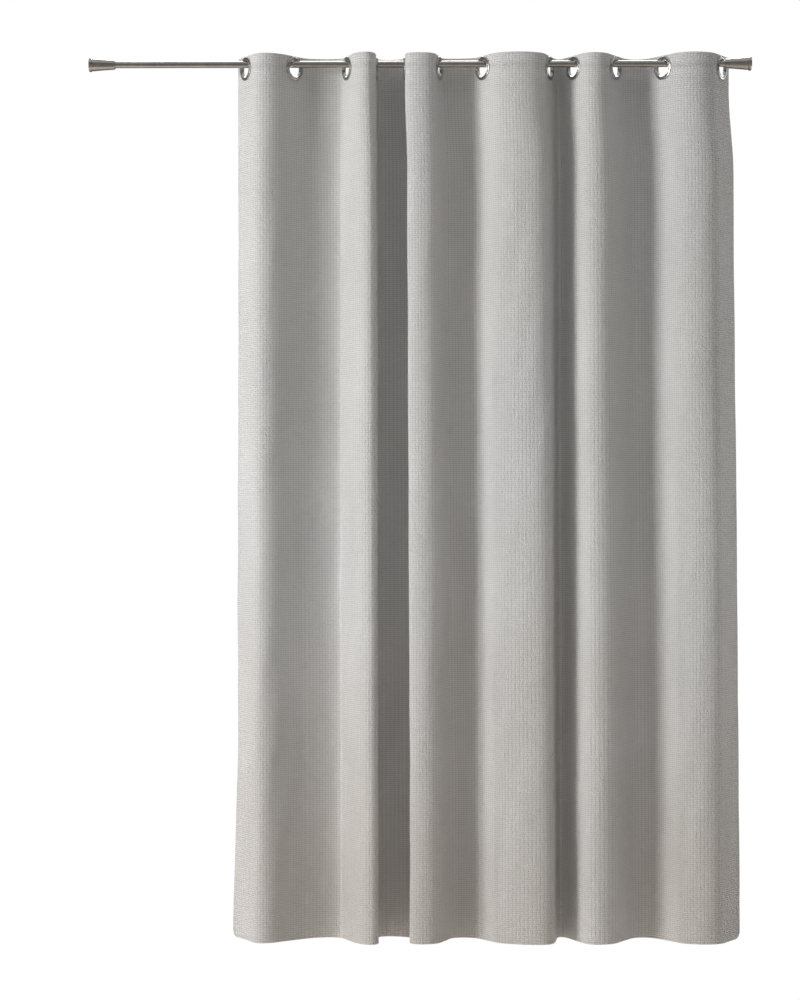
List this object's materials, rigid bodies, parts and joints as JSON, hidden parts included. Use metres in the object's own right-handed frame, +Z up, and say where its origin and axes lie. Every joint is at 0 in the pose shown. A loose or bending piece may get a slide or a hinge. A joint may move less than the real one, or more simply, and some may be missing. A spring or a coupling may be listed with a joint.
{
  "type": "eyelet curtain panel on rod",
  "caption": "Woven eyelet curtain panel hanging in soft vertical folds on a round metal rod with flared end finials; slides and gathers.",
  "frame": {"origin": "on the rod's axis, halfway along the rod tube", "axes": "+X along the rod to the viewer's right, +Y from the room towards the wall, +Z up"},
  "size_m": [1.5976, 0.1215, 2.134],
  "materials": {
    "cloth": "matte woven, fine ribs with slubs",
    "buckram": "stiff nonwoven",
    "rod_nickel": "dark brushed nickel",
    "eyelet_nickel": "dark satin nickel",
    "set_screw": "black oxide"
  },
  "bodies": {
    "rod": {"rod_tube": "rod_nickel"},
    "finial_left": {"finial_left_body": "rod_nickel", "finial_left_cap": "rod_nickel", "finial_left_screw": "set_screw"},
    "finial_right": {"finial_right_body": "rod_nickel", "finial_right_cap": "rod_nickel", "finial_right_screw": "set_screw"},
    "curtain": {"curtain_panel": "cloth", "heading_stiffener": "buckram", "heading_facing": "cloth", "side_hem_left": "cloth", "side_hem_right": "cloth", "bottom_hem": "cloth", "eyelet_12_front": "eyelet_nickel", "eyelet_12_back": "eyelet_nickel"},
    "eyelet_01": {"eyelet_01_front": "eyelet_nickel", "eyelet_01_back": "eyelet_nickel"},
    "eyelet_02": {"eyelet_02_front": "eyelet_nickel", "eyelet_02_back": "eyelet_nickel"},
    "eyelet_03": {"eyelet_03_front": "eyelet_nickel", "eyelet_03_back": "eyelet_nickel"},
    "eyelet_04": {"eyelet_04_front": "eyelet_nickel", "eyelet_04_back": "eyelet_nickel"},
    "eyelet_05": {"eyelet_05_front": "eyelet_nickel", "eyelet_05_back": "eyelet_nickel"},
    "eyelet_06": {"eyelet_06_front": "eyelet_nickel", "eyelet_06_back": "eyelet_nickel"},
    "eyelet_07": {"eyelet_07_front": "eyelet_nickel", "eyelet_07_back": "eyelet_nickel"},
    "eyelet_08": {"eyelet_08_front": "eyelet_nickel", "eyelet_08_back": "eyelet_nickel"},
    "eyelet_09": {"eyelet_09_front": "eyelet_nickel", "eyelet_09_back": "eyelet_nickel"},
    "eyelet_10": {"eyelet_10_front": "eyelet_nickel", "eyelet_10_back": "eyelet_nickel"},
    "eyelet_11": {"eyelet_11_front": "eyelet_nickel", "eyelet_11_back": "eyelet_nickel"}
  },
  "joints": [
    {"name": "curtain_slide", "type": "slide", "parent": "rod", "child": "curtain", "axis": [-1, 0, 0], "range_m": [0, 0.28]},
    {"name": "gather", "type": "slide", "parent": "curtain", "child": "eyelet_01", "axis": [1, 0, 0], "range_m": [0, 0.51525], "deforming": ["curtain_panel", "heading_stiffener", "heading_facing", "side_hem_left", "side_hem_right", "bottom_hem"]},
    {"name": "eyelet_02_slide", "type": "slide", "parent": "curtain", "child": "eyelet_02", "axis": [1, 0, 0], "range_m": [0, 0.46371]},
    {"name": "eyelet_03_slide", "type": "slide", "parent": "curtain", "child": "eyelet_03", "axis": [1, 0, 0], "range_m": [0, 0.406]},
    {"name": "eyelet_04_slide", "type": "slide", "parent": "curtain", "child": "eyelet_04", "axis": [1, 0, 0], "range_m": [0, 0.37457]},
    {"name": "eyelet_05_slide", "type": "slide", "parent": "curtain", "child": "eyelet_05", "axis": [1, 0, 0], "range_m": [0, 0.34314]},
    {"name": "eyelet_06_slide", "type": "slide", "parent": "curtain", "child": "eyelet_06", "axis": [1, 0, 0], "range_m": [0, 0.30656]},
    {"name": "eyelet_07_slide", "type": "slide", "parent": "curtain", "child": "eyelet_07", "axis": [1, 0, 0], "range_m": [0, 0.25864]},
    {"name": "eyelet_08_slide", "type": "slide", "parent": "curtain", "child": "eyelet_08", "axis": [1, 0, 0], "range_m": [0, 0.18702]},
    {"name": "eyelet_09_slide", "type": "slide", "parent": "curtain", "child": "eyelet_09", "axis": [1, 0, 0], "range_m": [0, 0.16023]},
    {"name": "eyelet_10_slide", "type": "slide", "parent": "curtain", "child": "eyelet_10", "axis": [1, 0, 0], "range_m": [0, 0.1154]},
    {"name": "eyelet_11_slide", "type": "slide", "parent": "curtain", "child": "eyelet_11", "axis": [1, 0, 0], "range_m": [0, 0.06336]},
    {"name": "finial_left_pull", "type": "slide", "parent": "rod", "child": "finial_left", "axis": [-1, 0, 0], "range_m": [0, 0.04]},
    {"name": "finial_right_pull", "type": "slide", "parent": "rod", "child": "finial_right", "axis": [1, 0, 0], "range_m": [0, 0.04]}
  ],
  "couplings": [
    {"joint": "eyelet_02_slide", "follows": "gather", "ratio": 0.899},
    {"joint": "eyelet_03_slide", "follows": "gather", "ratio": 0.787},
    {"joint": "eyelet_04_slide", "follows": "gather", "ratio": 0.726},
    {"joint": "eyelet_05_slide", "follows": "gather", "ratio": 0.665},
    {"joint": "eyelet_06_slide", "follows": "gather", "ratio": 0.594},
    {"joint": "eyelet_07_slide", "follows": "gather", "ratio": 0.501},
    {"joint": "eyelet_08_slide", "follows": "gather", "ratio": 0.362},
    {"joint": "eyelet_09_slide", "follows": "gather", "ratio": 0.31},
    {"joint": "eyelet_10_slide", "follows": "gather", "ratio": 0.223},
    {"joint": "eyelet_11_slide", "follows": "gather", "ratio": 0.122}
  ]
}
